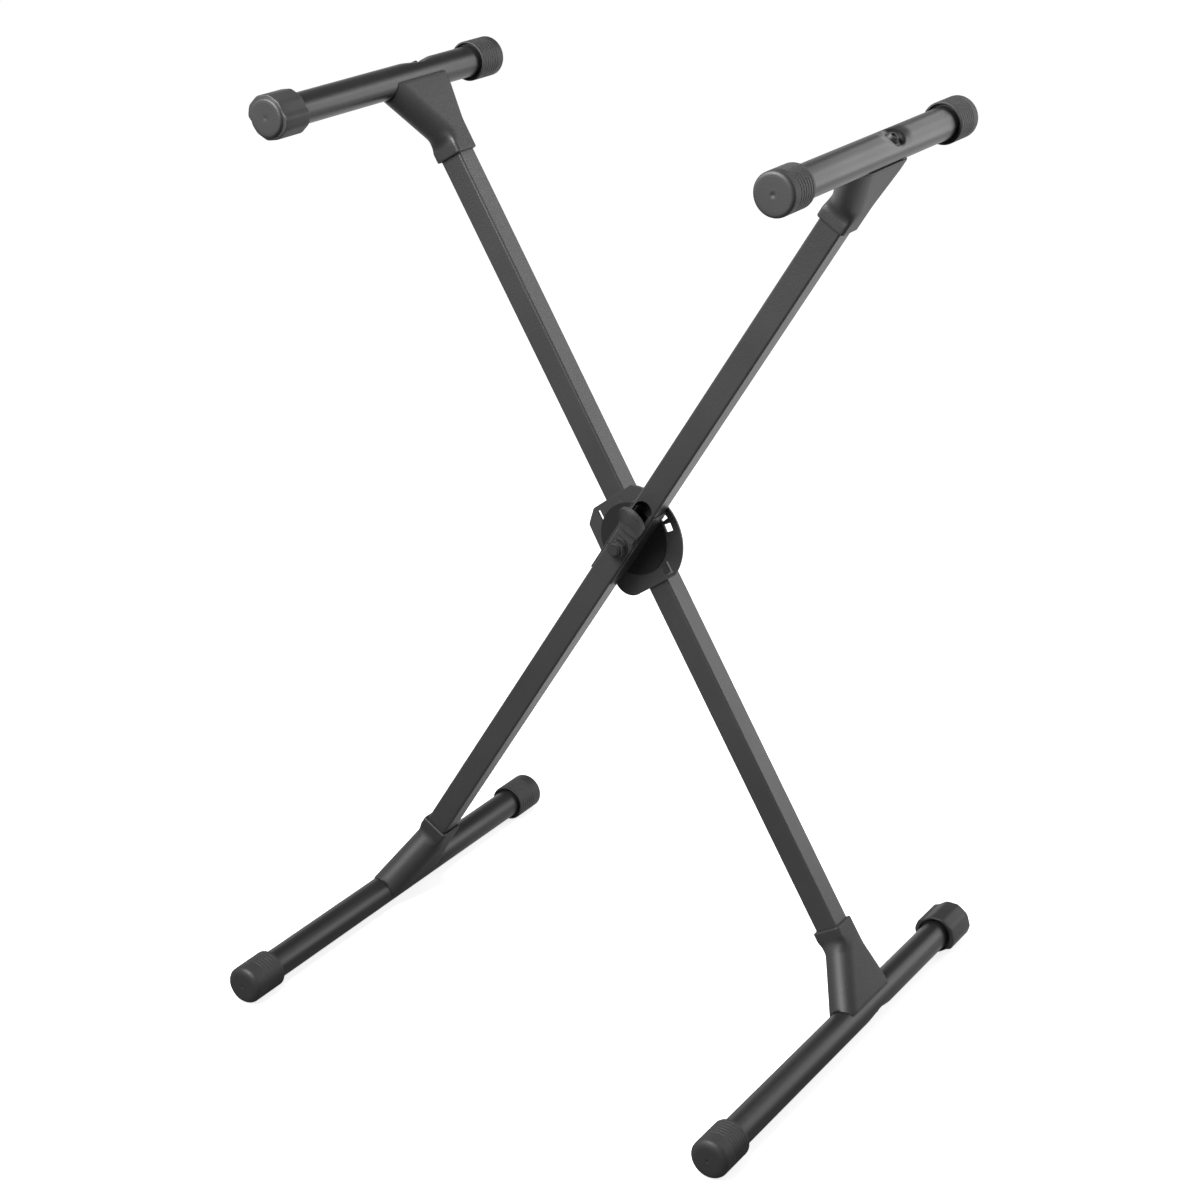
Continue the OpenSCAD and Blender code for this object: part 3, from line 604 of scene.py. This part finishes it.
def cam_radius(turn):
    """Distance from the axis to the cam's flats in this direction."""
    turn = (turn - CAM_START + CAM_STEP / 2) % math.pi - CAM_STEP / 2
    reach = []
    for k in range(CAM_FLATS):
        flat = CAP_R - CAM_LOW if k == 0 else CAP_R + (k - 1) * CAM_RISE
        away = turn - k * CAM_STEP
        if abs(away) < CAM_FACING:
            reach.append(flat / math.cos(away))
    return min(reach)


def cam_outline():
    """The cam's distance from the axis all round, with its corners rounded off."""
    outline = [cam_radius(2 * math.pi * k / CAM_SIDES) for k in range(CAM_SIDES)]
    for _ in range(CAM_SOFTENING):
        outline = [(outline[k - 1] + 2 * outline[k] + outline[(k + 1) % CAM_SIDES]) / 4
                   for k in range(CAM_SIDES)]
    return outline


def make_levelling_cap(name, node, joint, back, turn):
    low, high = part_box(node)
    length = high.y - low.y
    cam_end = length - CAM_NOSE
    outline = cam_outline()
    turns = [2 * math.pi * k / CAM_SIDES for k in range(CAM_SIDES)]

    def ring(z, radii):
        return [(r * math.cos(a), r * math.sin(a), z) for r, a in zip(radii, turns)]

    def round_ring(r, z):
        return ring(z, [r] * CAM_SIDES)

    def rounded_cam(z, width, a):
        """The cam drawn in as far as a rounding of this width is at this angle."""
        return ring(z, [r - width * (1 - math.cos(a)) for r in outline])

    angles = quarter(CAM_ROUND_STEPS)
    rings = [round_ring(r, z) for r, z in cap_inside(length)]
    rings += [rounded_cam(CAM_EDGE * (1 - math.sin(a)), CAM_EDGE, a) for a in reversed(angles)]
    rings += [ring(z, outline) for z in (*CAM_RINGS, cam_end - CAM_SHOULDER)]
    rings += [rounded_cam(cam_end - CAM_SHOULDER * (1 - math.sin(a)), CAM_SHOULDER, a)
              for a in angles[1:]]
    rings += [round_ring(CAM_NOSE_R + wider, cam_end + up) for up, wider in NOSE_FILLET]
    rings += [round_ring(CAM_NOSE_R - NOSE_EDGE * (1 - math.cos(a)) - NOSE_TUCK,
                         length - NOSE_EDGE * (1 - math.sin(a))) for a in angles]
    rings += [round_ring(CAM_NOSE_R * share, length - NOSE_SINK) for share in NOSE_END]
    rings += [round_ring(r, z) for r, z in dimple(length, CAM_DIMPLE)]
    at = JOINTS[joint]["pos_m"]
    mouth = low.y if back == BACK_END else high.y
    place = cap_place(at[0], mouth, at[2], back) @ Matrix.Rotation(math.radians(turn), 4, "Z")
    return new_piece(name, node, ring_mesh(name, rings, place), sharp=40)


# The lever's thumb tab: a scooped skin that wraps the plain tab. It rises along Z from the bend
# in the lever's lip, and Y points to the back.

# The lip's distance in front of the leg, the bend's height over the hub, and the lean in degrees
LIP_FRONT = 0.0023
TAB_BEND = 0.022
TAB_LEAN = 29

# Length, half the width at the round end and at the foot, softness of the widening, and least half
TAB_LENGTH = 0.0389
TAB_HALF = 0.01565
TAB_FOOT_HALF = 0.0111
TAB_WIDEN = 0.004
TAB_TIP_HALF = 0.0002

# The back's distance behind the plain tab's front, its width as a share, and the thinnest skin
TAB_BACK = 0.0021
TAB_BACK_SHARE = 0.99
TAB_SKIN = 0.0002

# Height of the rim and of the swelling and the stretches over which they grow and fade, how far
# the rim's crown reaches down from the end, and how much lower the swelling is at the sides
TAB_RIM = 0.0016
TAB_RIM_GROWS = (0.002, 0.012)
TAB_CROWN = 0.011
TAB_SWELL = 0.0034
TAB_SWELL_GROWS = (-0.0015, 0.002)
TAB_SWELL_FADES = (0.0005, 0.0115)
TAB_SWELL_SIDE = 0.35

# The rows start below the bend and span the tab; then its steps and the rounding of its edges
TAB_START = -0.0012
TAB_SPAN = TAB_LENGTH + 0.00125
TAB_ROWS = 36
TAB_COLUMNS = 28
TAB_EDGE = 0.0005
TAB_EDGE_ANGLE = 60


def tab_half(s):
    """Half of the tab's width at this distance above its bend."""
    round_from = TAB_LENGTH - TAB_HALF
    if s > round_from:
        return math.sqrt(max(TAB_HALF ** 2 - (s - round_from) ** 2, 0))
    widening = smooth_step(s, -TAB_WIDEN, round_from + TAB_WIDEN)
    return TAB_FOOT_HALF + (TAB_HALF - TAB_FOOT_HALF) * widening


def tab_front(s, share):
    """How far the tab's face stands in front of its plane: a scoop with a rim, over a swelling at
    its base. The share is how far out the point lies between the middle and the edge."""
    swell = TAB_SWELL * (1 - smooth_step(s, *TAB_SWELL_FADES)) * smooth_step(s, *TAB_SWELL_GROWS)
    rim = TAB_RIM * share ** 4 * smooth_step(s, *TAB_RIM_GROWS)
    crown = TAB_RIM * smooth_step(s, TAB_LENGTH - TAB_CROWN, TAB_LENGTH)
    return TAB_SKIN + max(swell * (1 - TAB_SWELL_SIDE * share ** 2), rim, crown)


def make_tab(name, node):
    middle_y, leg_w = leg_middle(FRONT)
    bend = Matrix.Translation((0, middle_y - leg_w / 2 - LIP_FRONT, TAB_BEND))
    place = leg_place(FRONT) @ bend @ Matrix.Rotation(math.radians(TAB_LEAN), 4, "X")
    rings = []
    for turn in quarter(TAB_ROWS):
        s = TAB_START + TAB_SPAN * math.sin(turn)
        half = max(tab_half(s), TAB_TIP_HALF)
        front, back = [], []
        for k in range(TAB_COLUMNS + 1):
            share = -math.cos(math.pi * k / TAB_COLUMNS)
            front.append((half * share, -tab_front(s, abs(share)), s))
            back.append((half * share * TAB_BACK_SHARE, TAB_BACK, s))
        rings.append(front + back[::-1])
    piece = new_piece(name, node, ring_mesh(name, rings, place), sharp=70, stands_in=False)
    round_edges(piece, TAB_EDGE, TAB_EDGE_ANGLE)
    return piece


# The pieces that are copies of CAD nodes with their hard edges rounded by this width; 0 only
# shades them evenly
SOFT_EDGES = {
    "leg_front": 0, "leg_rear": 0, "friction_disc": 0.0002, "lock_plate": 0.0003,
    "saddle_plate": 0.0004, "release_lever": 0.0005, "hub_nut": 0.0006, "hub_washers": 0.0002,
    "bar_bolts_front_frame": 0.0003, "bar_bolts_rear_frame": 0.0003,
}

# Points closer than WELD are joined, faces that turn by less than FLAT_ANGLE degrees are made one,
# and edges that turn by more than HARD_ANGLE degrees are hard
WELD = 0.000002
FLAT_ANGLE = 0.5
HARD_ANGLE = 32

# A face of the lock plate that lies further behind its front than this belongs to the lug
PLATE_THICK = 0.0024


def soften(name, node, width):
    """A copy of a CAD node with its hard edges rounded."""
    mesh = NODES[node].data.copy()
    mesh.name = name
    shell = bmesh.new()
    shell.from_mesh(mesh)
    bmesh.ops.remove_doubles(shell, verts=shell.verts, dist=WELD)
    bmesh.ops.dissolve_limit(shell, angle_limit=math.radians(FLAT_ANGLE),
                             verts=shell.verts, edges=shell.edges)
    shell.to_mesh(mesh)
    shell.free()
    # Zero normals clear the ones that came with the node
    mesh.normals_split_custom_set([(0, 0, 0)] * len(mesh.loops))
    piece = new_piece(name, node, mesh, sharp=HARD_ANGLE)
    if width:
        round_edges(piece, width, HARD_ANGLE)
    even = piece.modifiers.new("even_shading", "WEIGHTED_NORMAL")
    even.keep_sharp = True
    return piece


def paint_lug_shade(piece):
    """Paints shade on the lug, which stands behind the lock plate, in the friction disc's dark."""
    piece.data.materials.append(DISC_DARK_AND_LUG_SHADE)
    low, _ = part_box("lock_plate")
    for face in piece.data.polygons:
        if face.center.y > low.y + PLATE_THICK:
            face.material_index = 1


def make_pieces():
    for bar, side in BARS.items():
        make_bar(bar + "_pressed", bar, side)
    for bar, side in BARS.items():
        bracket = "bracket_" + bar.replace("_bar", "")
        make_bracket(bracket + "_moulded", bracket, side, bar)
    make_levelling_cap("levelling_cap_top_moulded", "levelling_cap_top", "top_cap_turn",
                       FRONT_END, TOP_CAM_TURN)
    make_levelling_cap("levelling_cap_foot_moulded", "levelling_cap_foot", "foot_cap_turn",
                       BACK_END, 0)
    for cap in PLAIN_CAPS:
        make_plain_cap(*cap)
    make_tab("thumb_tab", "release_lever")
    for node, width in SOFT_EDGES.items():
        piece = soften(node + "_finished", node, width)
        # The lock plate's lug gets painted shade, and the friction disc is darker than its slot
        if node == "lock_plate":
            paint_lug_shade(piece)
        if node == "friction_disc":
            piece.data.materials[0] = DISC_DARK_AND_LUG_SHADE


# Floor, world and lamps

# The floor's half width, and its shade and glow as the camera sees it and as other light does
FLOOR_HALF = 12.0
FLOOR_SEEN = (0.7, 0.78)
FLOOR_LIGHT = (0.25, 0.0)

# Shiny pieces see a darker floor that glows more behind the stand than in front of it
FLOOR_MIRRORED = 0.12
SWEEP_Y = (-0.05, 0.5)
SWEEP_GLOW = (0.08, 1.0)

# The world's strength in that other light
WORLD_LIGHT = 0.3

# What shiny pieces see round the stand: a backdrop of this shade, the sine of the elevation where
# it starts and ends to fade, and how bright the ceiling is
BACKDROP_SHADE = 0.8
BACKDROP_FADE = (0.24, 0.46)
CEILING = 0.07

# Each lamp's name, place, aim, sides and watts
LAMPS = (
    ("key", (-0.3, -0.85, 1.65), (0, 0, 0.85), (1.0, 1.0), 62),
    ("back_right", (1.2, 1.65, 0.95), (0, 0, 0.5), (1.2, 1.4), 12),
    ("top_strip", (0.4, 0.9, 1.3), (0.25, 0, 0.9), (0.7, 0.3), 1.6),
)


def grey(shade):
    return (shade, shade, shade, 1)


def choose(tree, camera, shiny, other):
    """Shows one shader to the camera, one to shiny and clear pieces, and one to other light."""
    path = add_node(tree, "ShaderNodeLightPath")
    either = add_node(tree, "ShaderNodeMath")
    either.operation = "MAXIMUM"
    tree.links.new(path.outputs["Is Glossy Ray"], either.inputs[0])
    tree.links.new(path.outputs["Is Transmission Ray"], either.inputs[1])
    out = other
    for when, shader in ((either.outputs[0], shiny), (path.outputs["Is Camera Ray"], camera)):
        mix = add_node(tree, "ShaderNodeMixShader")
        tree.links.new(when, mix.inputs["Fac"])
        tree.links.new(out, mix.inputs[1])
        tree.links.new(shader, mix.inputs[2])
        out = mix.outputs[0]
    return out


def coordinate(tree, kind, axis):
    """One axis of this kind of texture coordinate."""
    where = add_node(tree, "ShaderNodeTexCoord")
    split = add_node(tree, "ShaderNodeSeparateXYZ")
    tree.links.new(where.outputs[kind], split.inputs[0])
    return split.outputs[axis]


def lit_paper(tree, shade, glow=0.0, glow_from=None):
    """Paper of this shade with a white glow added, whose strength may come from another node."""
    paper = add_node(tree, "ShaderNodeBsdfDiffuse", Color=grey(shade))
    light = add_node(tree, "ShaderNodeEmission", Strength=glow)
    if glow_from:
        tree.links.new(glow_from, light.inputs["Strength"])
    both = add_node(tree, "ShaderNodeAddShader")
    tree.links.new(paper.outputs[0], both.inputs[0])
    tree.links.new(light.outputs[0], both.inputs[1])
    return both.outputs[0]


def make_floor():
    mesh = bpy.data.meshes.new("floor")
    half = FLOOR_HALF
    corners = [(-half, -half, 0), (half, -half, 0), (half, half, 0), (-half, half, 0)]
    mesh.from_pydata(corners, [], [(0, 1, 2, 3)])
    floor = bpy.data.objects.new("floor", mesh)
    bpy.context.scene.collection.objects.link(floor)
    material = bpy.data.materials.new("floor_paper")
    material.use_nodes = True
    tree = material.node_tree
    tree.nodes.clear()
    out = add_node(tree, "ShaderNodeOutputMaterial")
    sweep = ranged(tree, coordinate(tree, "Object", "Y"), *SWEEP_Y, *SWEEP_GLOW, smooth=True)
    shader = choose(tree, lit_paper(tree, *FLOOR_SEEN),
                    lit_paper(tree, FLOOR_MIRRORED, glow_from=sweep),
                    lit_paper(tree, *FLOOR_LIGHT))
    tree.links.new(shader, out.inputs["Surface"])
    mesh.materials.append(material)


def make_world():
    """White to the camera. Shiny pieces see a light backdrop that fades to a dim ceiling."""
    world = bpy.data.worlds.new("studio")
    bpy.context.scene.world = world
    world.use_nodes = True
    tree = world.node_tree
    tree.nodes.clear()
    out = add_node(tree, "ShaderNodeOutputWorld")
    seen = add_node(tree, "ShaderNodeBackground", Color=grey(1), Strength=1.0)
    mirrored = add_node(tree, "ShaderNodeBackground", Color=grey(BACKDROP_SHADE))
    light = add_node(tree, "ShaderNodeBackground", Color=grey(1), Strength=WORLD_LIGHT)
    height = coordinate(tree, "Generated", "Z")
    tree.links.new(ranged(tree, height, *BACKDROP_FADE, 1.0, CEILING, smooth=True),
                   mirrored.inputs["Strength"])
    shader = choose(tree, seen.outputs[0], mirrored.outputs[0], light.outputs[0])
    tree.links.new(shader, out.inputs["Surface"])


def make_lamp(name, at, aim, sides, watts):
    data = bpy.data.lights.new(name, "AREA")
    data.shape = "RECTANGLE"
    data.size, data.size_y = sides
    data.energy = watts
    lamp = bpy.data.objects.new(name, data)
    lamp.location = at
    lamp.rotation_euler = (Vector(aim) - Vector(at)).to_track_quat("-Z", "Y").to_euler()
    lamp.visible_camera = False
    bpy.context.scene.collection.objects.link(lamp)


make_camera()
paint_nodes()
make_pieces()
make_floor()
make_world()
for lamp in LAMPS:
    make_lamp(*lamp)

bpy.context.scene.view_settings.view_transform = "Standard"
